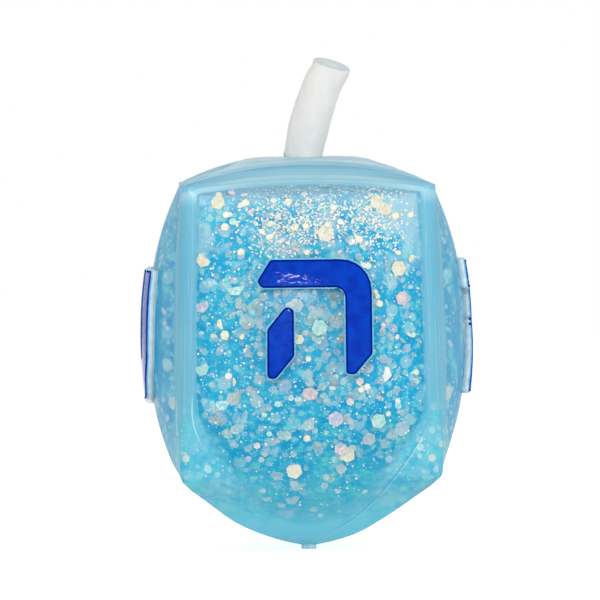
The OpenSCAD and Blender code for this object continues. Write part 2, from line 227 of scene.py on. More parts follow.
def pillow_mesh(
    name, form, across=32, tip_rows=12, edge_rows=44, shoulder_rows=9, roof_rings=5, hole=False
):
    """The pillow as a fine mesh, with the fill hole in its roof if asked for. Each point keeps
    how far it lies inside the clear window of its face and how far below the roof crease, both
    in millimetres."""
    verts, inset, below = [Vector((0, 0, form.tip))], [0.0], [AT_TIP]
    rows = form.rows(tip_rows, edge_rows, shoulder_rows)
    for row in rows:
        for k in range(4):
            for i in range(across):
                s = 2 * i / across - 1
                p = form.row_point(row, s)
                verts.append(settled(QUARTERS[k] @ p))
                inset.append(min(CAVITY.corner_half(p.z) - abs(p.x), window_top(p.x) - p.z))
                below.append(form.crease_at(p.x) - p.z)
    crease_ring = verts[-4 * across :]
    for j in range(1, roof_rings + 1):
        u = 1 - j / roof_rings
        for p in crease_ring:
            far = math.hypot(p.x, p.y)
            k = (FLAT_R + (far - FLAT_R) * u) / far
            fall = (form.crown - p.z) * u**ROOF_FULLNESS
            verts.append(Vector((p.x * k, p.y * k, form.crown - fall)))
            inset.append(ON_ROOF)
            below.append((u - 1) * (form.reach - FLAT_R))
    if hole:
        for z in (form.crown, CAVITY.crown):
            for p in crease_ring:
                flat = Vector((p.x, p.y, 0)).normalized() * HOLE_R
                verts.append(Vector((flat.x + STEM_FOOT[0], flat.y, z)))
                inset.append(ON_ROOF)
                below.append(-form.reach)
        roof_rings += 2
    n, rings = 4 * across, len(rows) + roof_rings
    faces = [(0, 1 + (i + 1) % n, 1 + i) for i in range(n)]
    for j in range(rings - 1):
        for i in range(n):
            a, b = 1 + j * n + i, 1 + j * n + (i + 1) % n
            faces.append((a, b, b + n, a + n))
    if not hole:
        verts.append(Vector((0, 0, form.crown)))
        inset.append(ON_ROOF)
        below.append(-form.reach)
        last = 1 + (rings - 1) * n
        faces += [(last + i, last + (i + 1) % n, len(verts) - 1) for i in range(n)]
    obj = new_object(name, verts, faces)
    point_values(obj, "inset", inset)
    point_values(obj, "below", below)
    return obj


def window_top(x):
    """Height of the glitter window's arched top edge."""
    return WINDOW_TOP - WINDOW_ARCH * (x / 20.4) ** 2


def window_walls(name):
    """The inner walls of the rubber round each clear window, from just under the skin's
    surface in to the gel, so that no view slips past the gel."""
    heights = spread(WALL_START, CAVITY.low, 24)[:-1] + spread(CAVITY.low, 64.5, 20)
    right = [(CAVITY.corner_half(z), z) for z in heights]
    top = [(x, window_top(x)) for x in spread(19.5, -19.5, 30)]
    loop = right + top + [(-x, z) for x, z in reversed(right)]
    verts, faces = [], []
    for turn in QUARTERS:
        first = len(verts)
        for x, z in loop:
            for y in (OUTSIDE.face_y(x, z) - 0.25, DEEP.face_y(x, z) - 0.6):
                verts.append(settled(turn @ Vector((x, -y, z))))
        n = len(loop)
        for i in range(n):
            a, b = first + 2 * i, first + 2 * ((i + 1) % n)
            faces.append((a, b, b + 1, a + 1))
    return new_object(name, verts, faces)


class Shading:
    """A material's nodes, added by short names. Each call gives back the socket to go on from."""

    def __init__(self, name):
        self.material = bpy.data.materials.new(name)
        self.material.use_nodes = True
        self.tree = self.material.node_tree
        self.tree.nodes.clear()

    def add(self, kind, inputs=None, **settings):
        node = self.tree.nodes.new("ShaderNode" + kind)
        for key, value in settings.items():
            setattr(node, key, value)
        for key, value in (inputs or {}).items():
            self.set(node.inputs[key], value)
        return node

    def set(self, socket, value):
        if isinstance(value, bpy.types.NodeSocket):
            self.tree.links.new(value, socket)
        elif socket.type == "RGBA" and len(value) == 3:
            socket.default_value = (*value, 1.0)
        else:
            socket.default_value = value

    def value(self, name):
        return self.add("Attribute", attribute_name=name).outputs["Fac"]

    def height(self, place):
        return self.add("SeparateXYZ", {0: place}).outputs["Z"]

    def place(self, scale=(1, 1, 1)):
        """Object coordinates in millimetres, stretched by scale."""
        coords = self.add("TexCoord").outputs["Object"]
        node = self.add("Mapping", {"Vector": coords})
        node.inputs["Scale"].default_value = [s / MM for s in scale]
        return node.outputs["Vector"]

    def noise(self, place, scale, detail=2.0, roughness=0.5, distortion=0.0):
        look = {"Detail": detail, "Roughness": roughness, "Distortion": distortion}
        node = self.add("TexNoise", {"Vector": place, "Scale": scale, **look})
        return node.outputs["Fac"]

    def cells(self, place, scale):
        return self.add("TexVoronoi", {"Vector": place, "Scale": scale})

    def span(self, value, low, high, to_low=0.0, to_high=1.0, smooth=True):
        """Carries a value from one range over to another, where it stays within the ends."""
        ends = {"From Min": low, "From Max": high, "To Min": to_low, "To Max": to_high}
        kind = "SMOOTHSTEP" if smooth else "LINEAR"
        node = self.add("MapRange", {"Value": value, **ends}, interpolation_type=kind)
        return node.outputs["Result"]

    def math(self, operation, a, b=0.0, kind="Math"):
        return self.add(kind, {0: a, 1: b}, operation=operation).outputs[0]

    def plus(self, a, b):
        return self.math("ADD", a, b)

    def times(self, a, b):
        return self.math("MULTIPLY", a, b)

    def max(self, a, b):
        return self.math("MAXIMUM", a, b)

    def abs(self, a):
        return self.math("ABSOLUTE", a)

    def mix(self, factor, a, b):
        node = self.add("Mix", data_type="RGBA")
        for index, value in ((0, factor), (6, a), (7, b)):
            self.set(node.inputs[index], value)
        return node.outputs[2]

    def ramp(self, value, stops):
        node = self.add("ValToRGB", {"Fac": value})
        elements = node.color_ramp.elements
        while len(elements) < len(stops):
            elements.new(0.5)
        for element, (position, colour) in zip(elements, stops):
            element.position = position
            element.color = (*colour, 1.0)
        return node.outputs["Color"]

    def bump(self, height, strength, distance_mm):
        look = {"Height": height, "Strength": strength, "Distance": distance_mm * MM}
        return self.add("Bump", look).outputs["Normal"]

    def principled(self, **inputs):
        names = {key.replace("_", " "): value for key, value in inputs.items()}
        return self.add("BsdfPrincipled", names).outputs[0]

    def mix_shader(self, factor, a, b):
        return self.add("MixShader", {0: factor, 1: a, 2: b}).outputs[0]

    def clear(self, colour=WHITE):
        return self.add("BsdfTransparent", {"Color": colour}).outputs[0]

    def light_rays(self):
        """1 for the shadow and diffuse rays, which carry light through clear rubber."""
        path = self.add("LightPath")
        return self.max(path.outputs["Is Shadow Ray"], path.outputs["Is Diffuse Ray"])

    def seen_rays(self):
        """1 for the rays that show a background: camera, glossy and transmission rays."""
        path = self.add("LightPath")
        seen = self.max(path.outputs["Is Camera Ray"], path.outputs["Is Glossy Ray"])
        return self.max(seen, path.outputs["Is Transmission Ray"])

    def finish(self, shader):
        self.add("OutputMaterial", {"Surface": shader})
        return self.material


BAND_BLUE = srgb(112, 182, 207)
GEL_BLUE = srgb(0, 168, 210)
GEL_LIGHT = srgb(48, 184, 212)
MILKY_BLUE = srgb(12, 158, 206)
LOW_BLUE = srgb(82, 187, 213)
# Share of the rubber's cover that counts for the rays that carry light to the gel
LIGHT_COVER = 0.12


def skin_material():
    """Clear rubber: milky blue where it is thick, nearly clear over the gel, glossy all over."""
    s = Shading("clear_rubber_skin")
    place = s.place()
    axes = s.add("SeparateXYZ", {0: place})
    side, front, height = axes.outputs["X"], axes.outputs["Y"], axes.outputs["Z"]
    inset = s.value("inset")
    clouds = s.noise(place, 0.22)
    low = s.span(s.plus(height, s.times(clouds, 12.0)), 38.0, 22.0)
    lines = s.add("CombineXYZ", {0: inset, 2: s.times(height, 0.02)}).outputs[0]

    tone = skin_bands(s, place, front, clouds, low)
    tone = skin_streaks(s, tone, lines, height)
    tone = s.mix(s.span(clouds, 0.4, 0.75, 0.0, 0.22), tone, srgb(96, 190, 214))
    tone = low_glitter(s, tone, place, height, low)
    # Painted light: lighter cyan towards the tip, making up for the shade on the underside
    tone = s.mix(s.span(height, 13.0, 2.0, 0.0, 0.8), tone, srgb(108, 232, 255))

    # The clear window ends sharply beside the straight edges and softly lower down
    softness = s.span(height, 16.0, 30.0, 5.0, 0.4)
    drawn_in = s.math("SUBTRACT", inset, s.span(height, 28.0, 18.0, 0.25, 2.7))
    window = s.span(s.plus(s.math("DIVIDE", drawn_in, softness), 0.5), 0.0, 1.0)
    veiled = s.mix(s.span(height, 18.0, 8.0), veiled_gel(s, place, clouds), tone)
    colour = s.mix(window, tone, veiled)
    # Painted shade in front of each letter's foot on the side faces
    colour = s.mix(letter_foot_shade(s, place, side, front, height), colour, srgb(0, 158, 208))
    bright, dark = cavity_edge_and_glints(s, lines, inset, side, height)
    colour = s.mix(s.times(dark, 0.7), colour, srgb(60, 150, 196))
    # Painted highlight: bright dashes along the cavity's lower edge
    colour = s.mix(s.times(bright, 0.8), colour, srgb(214, 238, 244))

    # How much of the rubber's own colour covers what lies behind it
    edge_on = s.add("LayerWeight", {"Blend": 0.5}).outputs["Facing"]
    thick = s.span(edge_on, 0.38, 0.62, 0.0, 0.96)
    drift = s.times(s.math("SUBTRACT", clouds, 0.5), 18.0)
    milk = s.span(s.plus(height, drift), 11.0, 1.0, 0.0, 0.65)
    cover = s.max(s.max(0.04, milk), thick)
    cover = s.add("Mix", {0: window, 2: 0.93, 3: cover}, data_type="FLOAT").outputs[0]
    light = s.light_rays()
    cover = s.times(cover, s.span(light, 0.0, 1.0, 1.0, LIGHT_COVER, smooth=False))
    marks = s.times(s.times(s.max(bright, dark), 0.8), s.span(light, 0.0, 1.0, 1.0, 0.0))
    cover = s.max(cover, marks)

    ripple = s.bump(s.noise(place, 0.35), 0.25, 0.4)
    body = s.principled(Base_Color=colour, Roughness=0.4, Specular_IOR_Level=0.05, Normal=ripple)
    polish = {"Color": WHITE, "Roughness": 0.24, "Normal": ripple}
    gloss = s.add("BsdfGlossy", polish).outputs[0]
    shine = s.add("Fresnel", {"IOR": 1.4, "Normal": ripple}).outputs[0]
    shine = s.math("MINIMUM", s.times(shine, 0.4), 0.05)
    under = s.mix_shader(cover, s.clear(), body)
    return s.finish(s.mix_shader(shine, under, gloss))


def skin_bands(s, place, front, clouds, low):
    """Solid rubber in bands from the roof over the crease and down the edges: a painted highlight on the
    roof, painted shade at the crease.
    """
    below = s.value("below")
    # Painted highlight on the pale roof, and painted shade in the dark line just under the crease
    bands = s.ramp(
        s.span(below, -10.0, 10.0, smooth=False),
        [
            (0.0, srgb(190, 215, 222)),
            (0.40, srgb(192, 218, 225)),
            (0.495, srgb(158, 205, 220)),
            (0.505, srgb(108, 178, 206)),
            (0.56, srgb(134, 195, 215)),
            (0.585, srgb(168, 210, 223)),
            (0.62, srgb(158, 206, 221)),
            (0.70, BAND_BLUE),
        ],
    )
    low_band = s.mix(s.span(clouds, 0.35, 0.65), LOW_BLUE, srgb(126, 200, 217))
    bands = s.mix(low, bands, low_band)
    along = s.math("MULTIPLY", place, (0.06, 0.06, 0.0), "VectorMath")
    downward = s.add("CombineXYZ", {2: below}).outputs[0]
    crossing = s.math("ADD", along, downward, "VectorMath")
    contours = s.noise(crossing, 0.9, detail=4.0, roughness=0.65)
    roof = s.mix(s.span(contours, 0.5, 0.66, 0.0, 0.6), bands, srgb(216, 231, 236))
    roof = s.mix(s.span(contours, 0.5, 0.36, 0.0, 0.6), roof, srgb(118, 184, 210))
    roof = sunk_flakes(s, roof, place, 0.6, 0.22, 0.2, 0.3, 0.5, PALE_FLAKES)
    bands = s.mix(s.span(below, 0.6, -0.6), bands, roof)
    # Painted shade: a darker line along the crease, away from the front face
    crease = s.span(s.abs(below), 0.15, 0.5, 0.6, 0.0)
    crease = s.times(crease, s.span(front, -16.0, -10.0))
    return s.mix(crease, bands, srgb(70, 152, 196))


def skin_streaks(s, tone, lines, height):
    """Pale and dark streaks along the straight edges, where one looks into thick rubber."""
    streaks = s.noise(lines, 1.6, detail=3.0, roughness=0.7)
    straight = s.span(height, 20.0, 34.0)
    pale = s.times(s.span(streaks, 0.5, 0.66, 0.0, 0.5), straight)
    dark = s.times(s.span(streaks, 0.5, 0.34, 0.0, 0.5), straight)
    tone = s.mix(pale, tone, srgb(176, 214, 228))
    return s.mix(dark, tone, srgb(88, 170, 204))


def low_glitter(s, tone, place, height, low):
    """Glitter and mint patches that show through the rubber round the underside."""
    tone = mottled(s, tone, place, srgb(24, 160, 208), srgb(150, 212, 226), s.times(low, 0.35))
    tone = patched(s, tone, place, srgb(84, 208, 216), s.times(low, 0.45))
    mint = [srgb(112, 222, 210), srgb(160, 218, 224), srgb(72, 206, 214)]
    sharp = [srgb(196, 236, 226), srgb(236, 232, 208), srgb(200, 214, 234), srgb(226, 238, 240)]
    near = s.times(s.span(height, 10.0, 18.0), s.times(low, 0.65))
    for layer in (
        (0.2, 0.2, 0.4, 0.5, s.times(low, 0.65), mint),
        (0.42, 0.22, 0.24, 0.4, s.times(low, 0.6), mint),
        (0.75, 0.24, 0.18, 0.3, s.times(low, 0.5), PALE_FLAKES),
        (0.5, 0.3, 0.05, 0.55, near, sharp),
        (1.4, 0.24, 0.08, 0.4, near, sharp),
    ):
        tone = sunk_flakes(s, tone, place, *layer)
    return tone


def veiled_gel(s, place, clouds):
    """The gel as it looks slantwise through the rubber, with soft and widened flakes."""
    wide = s.place((0.42, 0.42, 1.0))
    veiled = s.mix(s.span(clouds, 0.35, 0.7), MILKY_BLUE, srgb(84, 188, 214))
    veiled = mottled(s, veiled, wide, srgb(0, 150, 206), srgb(140, 212, 226), 0.6)
    veiled = sunk_flakes(s, veiled, wide, 0.3, 0.3, 0.16, 0.4, 0.6, VEILED_FLAKES)
    veiled = sunk_flakes(s, veiled, wide, 0.75, 0.28, 0.14, 0.45, 0.6, VEILED_FLAKES[::-1])
    return sunk_flakes(s, veiled, place, 1.6, 0.16, 0.14, 0.25, 0.6, PALE_FLAKES)


def letter_foot_shade(s, place, side, front, height):
    """Painted shade: deeper blue in front of the foot of each letter on the side faces."""
    off_foot = s.abs(s.plus(front, 12.6))
    wavy = s.span(s.noise(place, 0.16, detail=1.0), 0.3, 0.7, 0.9, 2.6)
    foot = s.span(s.math("SUBTRACT", off_foot, wavy), -0.5, 0.4, 0.85, 0.0)
    foot = s.times(foot, s.span(s.abs(side), 22.0, 24.0))
    tall = s.span(s.abs(s.math("SUBTRACT", height, 38.5)), 10.0, 12.5, 1.0, 0.0)
    return s.times(foot, tall)


def cavity_edge_and_glints(s, lines, inset, side, height):
    """Thin dark dashes where the cavity's lower edge shows through, with bright dashes along it that are
    painted highlights.
    """
    gate = s.span(s.noise(lines, 22.0, detail=1.0), 0.42, 0.52)
    on_right = s.times(s.span(side, 2.0, 6.0), s.span(height, 24.0, 20.0))
    on_right = s.times(on_right, gate)
    on_left = s.times(s.span(side, -12.0, -16.0), s.span(height, 19.0, 23.0))
    on_left = s.times(on_left, s.span(height, 30.0, 26.0))
    bright = s.span(s.abs(s.plus(inset, 0.35)), 0.04, 0.14, 1.0, 0.0)
    dark = s.span(s.abs(inset), 0.1, 0.3, 1.0, 0.0)
    return s.times(bright, s.max(on_right, on_left)), s.times(dark, on_right)


def wall_material():
    """The clear rubber's inner walls, milky blue like the bands that lie over them."""
    s = Shading("clear_rubber_wall")
    place = s.place()
    tone = s.mix(s.span(s.height(place), 38.0, 22.0), BAND_BLUE, LOW_BLUE)
    tone = mottled(s, tone, place, srgb(60, 164, 204), srgb(150, 208, 222), 0.5)
    tone = sunk_flakes(s, tone, place, 0.6, 0.3, 0.14, 0.35, 0.5, PALE_FLAKES)
    body = s.principled(Base_Color=tone, Roughness=0.5, Specular_IOR_Level=0.05)
    cover = s.span(s.light_rays(), 0.0, 1.0, 1.0, LIGHT_COVER, smooth=False)
    return s.finish(s.mix_shader(cover, s.clear(), body))


# Tints of the flakes that show through thick rubber or gel
PALE_FLAKES = [
    srgb(136, 218, 228),
    srgb(196, 226, 214),
    srgb(120, 208, 232),
    srgb(214, 222, 214),
    srgb(150, 226, 214),
    srgb(182, 204, 232),
]
VEILED_FLAKES = [
    srgb(212, 208, 226),
    srgb(150, 224, 218),
    srgb(222, 220, 210),
    srgb(136, 214, 232),
    srgb(206, 232, 226),
]


def mottled(s, base, place, deep, pale, strength):
    """Mixes small soft patches into a colour, as of glitter that lies too deep to be sharp."""
    grain = s.noise(place, 0.8, detail=4.0, roughness=0.6)
    base = s.mix(s.span(grain, 0.5, 0.38, 0.0, strength), base, deep)
    return s.mix(s.span(grain, 0.52, 0.64, 0.0, strength), base, pale)


def patched(s, base, place, tint, strength):
    """Mixes broad soft patches of a tint into a colour."""
    patches = s.noise(place, 0.2, detail=3.0, roughness=0.6)
    return s.mix(s.times(s.span(patches, 0.52, 0.62), strength), base, tint)


def sunk_flakes(s, base, place, scale, radius, blur, share, strength, tints):
    """Mixes round, soft-edged flakes that lie out of reach in the gel into a colour."""
    cell = s.cells(place, scale)
    disc = s.span(cell.outputs["Distance"], radius, radius + blur, 1.0, 0.0)
    pick = s.add("SeparateColor", {0: cell.outputs["Color"]})
    present = s.span(pick.outputs[0], 1.0 - share, 1.0 - share + 0.15)
    present = s.times(present, strength)
    stops = [(i / (len(tints) - 1), tint) for i, tint in enumerate(tints)]
    return s.mix(s.times(disc, present), base, s.ramp(pick.outputs[1], stops))


def gel_material():
    """Tinted gel with out-of-reach glitter: blue clouds, haze, pale flakes and white dust."""
    s = Shading("glitter_gel")
    place = s.place()
    height = s.height(place)
    clouds = s.noise(place, 0.16, detail=3.0, distortion=0.6)
    base = s.mix(s.span(clouds, 0.38, 0.72), GEL_BLUE, GEL_LIGHT)
    mist = s.noise(place, 0.13, detail=3.0, distortion=0.5)
    haze = s.times(s.span(mist, 0.47, 0.58), s.span(height, 46.0, 60.0, 0.0, 0.66))
    haze = s.max(haze, s.span(height, 59.0, 66.0, 0.0, 0.6))
    base = mottled(s, base, place, srgb(0, 146, 204), srgb(124, 204, 224), 0.6)
    base = s.mix(haze, base, srgb(190, 219, 231))
    dust = [srgb(236, 244, 248), srgb(206, 236, 246), srgb(250, 246, 232)]
    for layer in (
        (0.34, 0.34, 0.12, 0.4, 0.48, PALE_FLAKES),
        (0.7, 0.36, 0.1, 0.45, 0.5, PALE_FLAKES[::-1]),
        (1.15, 0.3, 0.1, 0.25, 0.5, PALE_FLAKES),
        (2.1, 0.2, 0.12, 0.3, 0.8, dust),
    ):
        base = sunk_flakes(s, base, place, *layer)
    # Lighter cyan towards the bottom: the tint is the gel's own, and the extra brightness is painted light
    # making up for the shade on the underside
    low = s.mix(s.span(mist, 0.4, 0.6), srgb(50, 206, 240), srgb(110, 228, 238))
    base = s.mix(s.span(height, 20.0, 7.0, 0.0, 0.6), base, low)
    base = patched(s, base, place, srgb(82, 214, 210), s.span(height, 30.0, 18.0, 0.0, 0.5))
    return s.finish(s.principled(Base_Color=base, Roughness=0.6, Specular_IOR_Level=0.1))


def film_material(name):
    """Iridescent glitter film, each flake in its own tint."""
    s = Shading(name)
    film = s.add("Attribute", attribute_name="film")
    mottle = s.noise(s.place(), 1.6, detail=3.0)
    tint = s.mix(s.span(mottle, 0.4, 0.62, 0.0, 0.55), film.outputs["Color"], srgb(255, 252, 240))
    tint = s.mix(s.span(mottle, 0.45, 0.3, 0.0, 0.2), tint, srgb(255, 226, 216))
    body = s.principled(Base_Color=tint, Roughness=0.35, Specular_IOR_Level=0.2)
    cover = s.times(film.outputs["Alpha"], s.span(mottle, 0.3, 0.7, 0.85, 1.0))
    return s.finish(s.mix_shader(cover, s.clear((0.96, 0.99, 1.0)), body))


def relief_material():
    """Clear rubber of a letter: painted shade at its foot, pale up its wall, blue under the paint."""
    s = Shading("clear_rubber_relief")
    place = s.place()
    rise = s.plus(s.value("rise"), s.times(s.noise(place, 0.35), 0.3))
    # Painted shade: dark blue at the foot of the wall
    layers = s.ramp(
        s.span(rise, 0.0, 1.6, smooth=False),
        [
            (0.05, srgb(30, 146, 200)),
            (0.16, srgb(206, 232, 242)),
            (0.3, srgb(168, 214, 232)),
            (0.42, srgb(224, 236, 242)),
            (0.54, srgb(206, 230, 240)),
            (0.66, srgb(236, 243, 247)),
            (0.76, srgb(132, 214, 238)),
            (0.96, srgb(96, 200, 234)),
        ],
    )
    specks = s.span(s.cells(place, 2.6).outputs["Distance"], 0.16, 0.3, 0.6, 0.0)
    tint = s.mix(specks, layers, srgb(232, 240, 244))
    body = s.principled(Base_Color=tint, Roughness=0.2, Specular_IOR_Level=0.2)
    cover = s.span(s.noise(place, 0.6), 0.3, 0.7, 0.78, 0.95)
    return s.finish(s.mix_shader(cover, s.clear((0.93, 0.98, 1.0)), body))


def paint_material():
    """Glossy deep blue paint, darker along its edges, with faint dimples."""
    s = Shading("blue_paint")
    patches = s.noise(s.place(), 0.45, detail=3.0)
    tint = s.mix(s.span(patches, 0.3, 0.7), srgb(0, 48, 168), srgb(0, 64, 188))
    rim = s.value("edge")
    tint = s.mix(rim, tint, srgb(0, 26, 122))
    dimples = s.bump(s.noise(s.place(), 0.9), 0.3, 0.25)
    gloss = s.span(rim, 0.0, 1.0, 0.06, 0.0)
    return s.finish(
        s.principled(Base_Color=tint, Roughness=0.08, Specular_IOR_Level=gloss, Normal=dimples)
    )


def milky_material():
    """Milky rubber of the stem: pale, waxy, with faint length-wise marks and a bluer end."""
    s = Shading("milky_rubber")
    flow = s.noise(s.place((1, 1, 0.4)), 0.45)
    tint = s.mix(s.span(flow, 0.35, 0.7), srgb(240, 238, 235), srgb(248, 245, 241))
    spots = s.noise(s.place(), 1.6, detail=3.0)
    end_tint = s.mix(s.span(spots, 0.4, 0.6), srgb(188, 210, 216), srgb(214, 228, 231))
    tint = s.mix(s.value("rim"), tint, end_tint)
    dull = s.bump(s.noise(s.place(), 1.1), 0.1, 0.2)
    body = s.principled(Base_Color=tint, Roughness=0.4, Specular_IOR_Level=0.2, Normal=dull)
    glow = s.add("BsdfTranslucent", {"Color": srgb(244, 246, 246)}).outputs[0]
    return s.finish(s.mix_shader(0.25, body, glow))


def plug_material(name):
    """Clear rubber of the plug and of the stub under the point, with a fine ripple."""
    s = Shading(name)
    clouds = s.noise(s.place(), 0.7, detail=3.0)
    tint = s.mix(s.span(clouds, 0.35, 0.7), srgb(150, 204, 222), srgb(196, 226, 235))
    ripple = s.bump(s.noise(s.place(), 1.6), 0.15, 0.2)
    return s.finish(s.principled(Base_Color=tint, Roughness=0.22, IOR=1.45, Normal=ripple))


# Tints of the glitter
TINTS = {
    "cream": srgb(252, 243, 212),
    "white": srgb(252, 251, 248),
    "ivory": srgb(250, 238, 204),
    "pink": srgb(238, 212, 220),
    "mint": srgb(176, 240, 230),
    "cyan": srgb(128, 216, 236),
    "lilac": srgb(204, 208, 238),
    "dim": srgb(150, 216, 232),
    "veil": srgb(188, 232, 244),
}


# The brightest large flakes of the photographed face: across it, height, width and tint
BRIGHT_FLAKES = [
    (-2.9, 14.8, 3.0, "cream"),
    (6.5, 17.7, 2.9, "cream"),
    (12.2, 62.7, 2.8, "cream"),
    (13.6, 61.4, 2.5, "ivory"),
    (2.9, 57.3, 3.2, "cream"),
    (-18.7, 52.8, 2.8, "ivory"),
    (-19.2, 33.5, 2.7, "mint"),
    (-19.1, 44.7, 2.9, "lilac"),
    (-0.2, 28.9, 3.0, "pink"),
    (15.8, 50.9, 2.9, "cream"),
    (1.6, 40.7, 3.0, "mint"),
    (4.4, 24.3, 2.9, "lilac"),
    (12.0, 23.8, 2.8, "mint"),
    (5.3, 18.8, 2.4, "pink"),
    (-16.0, 62.9, 2.6, "cream"),
    (16.4, 45.6, 2.6, "pink"),
]


class Flakes:
    """Thin hexagonal flakes gathered into one mesh."""

    def __init__(self, seed):
        self.rng = random.Random(seed)
        self.verts, self.faces, self.film = [], [], []

    def hexagon(self, centre, normal, width, tint, cover, thick=0.04):
        spin = self.rng.uniform(0, math.pi / 3)
        across = normal.cross(UP).normalized()
        along = normal.cross(across)
        base = len(self.verts)
        for side in (0.5, -0.5):
            for i in range(6):
                a = spin + i * math.pi / 3
                self.verts.append(
                    centre
                    + (across * math.cos(a) + along * math.sin(a)) * (width / 2)
                    + normal * (side * thick)
                )
        self.faces.append([base + i for i in range(6)])
        self.faces.append([base + 11 - i for i in range(6)])
        for i in range(6):
            j = (i + 1) % 6
            self.faces.append([base + i, base + 6 + i, base + 6 + j, base + j])
        self.film += [(*tint, cover)] * 12

    def behind_face(self, k, x, z, depth, width, tint, cover, tilt):
        """One flake behind face k, at a place across it, at a depth under the cavity's wall.
        Where cover is under 1 the gel shows through it."""
        step = 0.4
        y = CAVITY.face_y(x, z)
        lean_x = (CAVITY.face_y(x + step, z) - CAVITY.face_y(x - step, z)) / (2 * step)
        lean_z = (CAVITY.face_y(x, z + step) - CAVITY.face_y(x, z - step)) / (2 * step)
        out = Vector((-lean_x, -1.0, -lean_z)).normalized()
        centre = Vector((x, -y, z)) - out * depth
        loose = Vector([self.rng.gauss(0, tilt) for _ in range(3)])
        # Low down only the flakes that lean up to the light are bright enough to be seen
        loose += Vector((0, -0.5, 0.6)) * blend01(34.0, 12.0, z)
        normal = (out + loose).normalized()
        if normal.dot(out) < 0.2:
            normal = out
        self.hexagon(QUARTERS[k] @ centre, QUARTERS[k] @ normal, width, tint, cover)

    def room(self, z, width):
        """How far across its face a flake may lie at a height."""
        return CAVITY.corner_half(min(z, CAVITY.top)) - 0.35 - width / 2

    def scatter(self, count, width, spread, depth, shares, height_bias=0.0, tilt=0.35, pale=0.6):
        """count flakes behind each face, with shares of the tints, denser towards the top
        where height_bias is positive. The gel shows through the share pale of them."""
        for k in range(4):
            for _ in range(count):
                z = self.rng.triangular(6.0, 66.4, 6.0 + 60.4 * (0.5 + height_bias / 2))
                if self.rng.random() < 0.6:
                    z = self.rng.uniform(6.0, 66.4)
                if self.rng.random() > 0.3 + 0.7 * blend01(8.0, 30.0, z):
                    continue
                half = self.room(z, width)
                half -= 2.0 * blend01(30.0, 22.0, z) * blend01(6.0, 14.0, z)
                if half > 1.0:
                    x = self.rng.uniform(-half, half)
                    self.place_flake(k, x, z, width, spread, depth, shares, tilt, pale)

    def cluster(self, count, k, x, z, reach, width, spread, depth, shares, tilt, pale):
        """A cloud of flakes round a place behind face k."""
        for _ in range(count):
            u, v = self.rng.gauss(x, reach), self.rng.gauss(z, reach)
            if abs(u) < self.room(v, width) and v > 6:
                self.place_flake(k, u, v, width, spread, depth, shares, tilt, pale)

    def place_flake(self, k, x, z, width, spread, depth, shares, tilt, pale):
        if z > CAVITY.crease_at(x) - 0.5 - width / 2:
            return
        tint = TINTS[self.rng.choices(list(shares), list(shares.values()))[0]]
        tint = mix(tint, TINTS["mint"], 0.5 * self.rng.random() * blend01(34.0, 16.0, z))
        cover = 1.0
        if self.rng.random() < pale:
            cover = self.rng.uniform(0.15, 0.5)
            tint = mix(tint, TINTS["veil"], 0.5)
        size = width * self.rng.uniform(1 - spread, 1 + spread)
        self.behind_face(k, x, z, self.rng.uniform(*depth), size, tint, cover, tilt)

    def build(self, name, material, slot, replaced):
        obj = new_object(name, self.verts, self.faces, smooth=False)
        point_colours(obj, "film", self.film)
        dress(obj, material, slot, replaced)


def dress(obj, material, slot, *replaced, body="toy"):
    """Gives a piece its material and body, and hides the CAD nodes that it replaces. slot is not used."""
    obj.data.materials.clear()
    obj.data.materials.append(material)
    if replaced:
        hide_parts(*replaced)
    if body:
        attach(obj, body)


# Letters, with the same corners as in the CAD: x, height and radius
def corner_arc(p, q, r, steps=6):
    """Points round corner q of an outline, between the corners p and r."""
    q2 = Vector(q[:2])
    u = (Vector(p[:2]) - q2).normalized()
    v = (Vector(r[:2]) - q2).normalized()
    half = math.acos(max(-1.0, min(1.0, u.dot(v)))) / 2
    centre = q2 + (u + v).normalized() * q[2] / math.sin(half)
    start = q2 + u * q[2] / math.tan(half) - centre
    end = q2 + v * q[2] / math.tan(half) - centre
    a = math.atan2(start.y, start.x)
    sweep = (math.atan2(end.y, end.x) - a + math.pi) % (2 * math.pi) - math.pi
    return [
        centre + Vector((math.cos(a + sweep * i / steps), math.sin(a + sweep * i / steps))) * q[2]
        for i in range(steps + 1)
    ]


def rounded(corners):
    n = len(corners)
    points = []
    for i in range(n):
        points += corner_arc(corners[i - 1], corners[i], corners[(i + 1) % n])
    return points


def he_outlines(x=20.2 / 2, y=20.9 / 2, w=STROKE):
    roof_and_leg = [
        (-x + 2.4, y, 0.5),
        (x, y, w + 0.6),
        (x, -y + 4.2, 1.2),
        (x - 3.1, -y + 0.6, 0.9),
        (x - w + 0.2, -y + 0.8, 0.5),
        (x - w + 0.2, y - w, 1.8),
        (-x + 0.8, y - w, 0.9),
        (-x, y - w + 1.1, 0.7),
    ]
    short_leg = [
        (-x + 4.9, y - 8.3, 0.9),
        (-x + 6.4, y - 8.5, 0.9),
        (-x + 6.4, -y + 4.0, 1.1),
        (-x + 3.1, -y, 0.9),
        (-x + 1.6, -y, 0.8),
        (-x + 1.7, y - 12.2, 1.3),
    ]
    return [rounded(roof_and_leg), rounded(short_leg)]


def gimel_outlines(x=14.6 / 2, y=23.6 / 2, w=STROKE):
    corners = [
        (-x + 1.2, y, 0.6),
        (x - 3.4, y, 3.0),
        (x - 1.4, y - 9, 4),
        (x, -y + 0.6, 0.8),
        (x - 1.0, -y, 0.7),
        (x - w + 0.2, -y, 0.9),
        (x - w - 0.7, -y + 6.2, 1.5),
        (-x + 3.6, -y, 0.9),
        (-x, -y, 0.8),
        (-x, -y + 1.6, 0.8),
        (x - w - 1.4, -y + 12.4, 1.6),
        (x - w - 2.0, y - w, 1.2),
        (-x + 0.4, y - w, 0.8),
    ]
    return [rounded(corners)]


